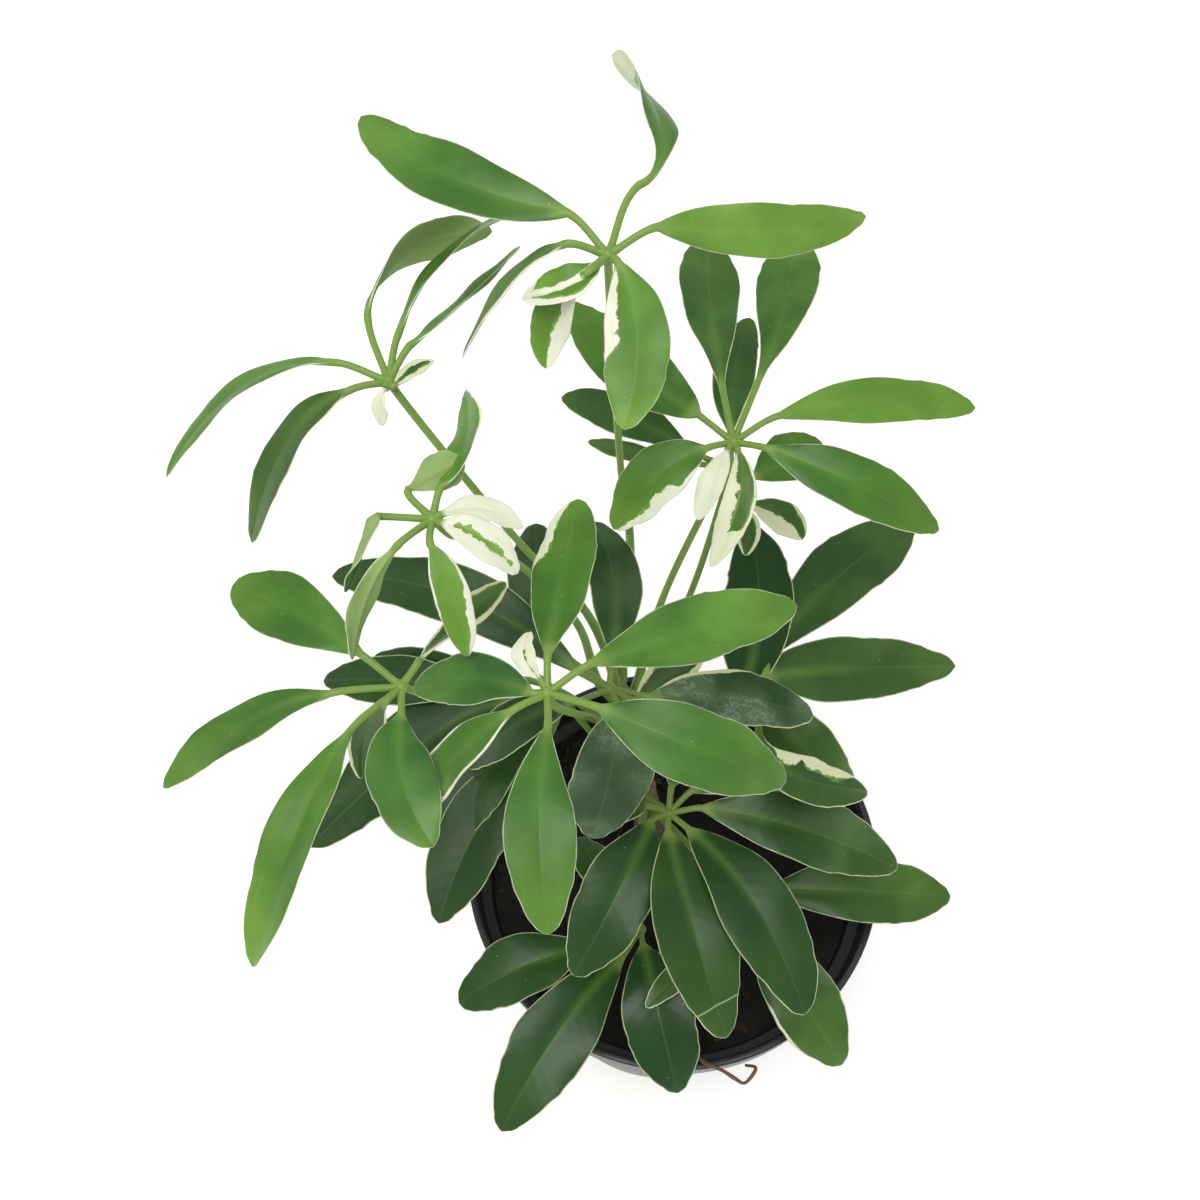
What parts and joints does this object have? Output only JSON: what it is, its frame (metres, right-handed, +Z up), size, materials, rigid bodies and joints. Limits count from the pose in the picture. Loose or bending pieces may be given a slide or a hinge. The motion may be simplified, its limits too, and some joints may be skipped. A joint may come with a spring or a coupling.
{
  "type": "potted umbrella plant",
  "caption": "Variegated dwarf umbrella plant with rings of glossy green leaflets edged in cream on long stalks, growing from a stem in a black nursery pot.",
  "frame": {"origin": "middle of the pot's foot, on the surface that the pot stands on", "axes": "+Z up along the pot's axis; -Y is the side that faces the viewer, +X is the viewer's right"},
  "size_m": [0.2528, 0.2621, 0.3876],
  "materials": {
    "pot": "satin",
    "soil": "matte",
    "stem": "matte",
    "leaf": "satin",
    "withered": "matte"
  },
  "bodies": {
    "root": {"pot": "pot", "soil": "soil", "stem": "stem", "leaf_1": "leaf", "leaf_2": "leaf", "leaf_3": "leaf", "leaf_4": "leaf", "leaf_5": "leaf", "leaf_6": "leaf", "leaf_7": "leaf", "leaf_8": "leaf", "leaf_9": "leaf", "leaf_10": "leaf", "leaf_11": "leaf", "leaf_12": "leaf", "leaf_13": "leaf", "withered_stalk": "withered"}
  },
  "joints": []
}
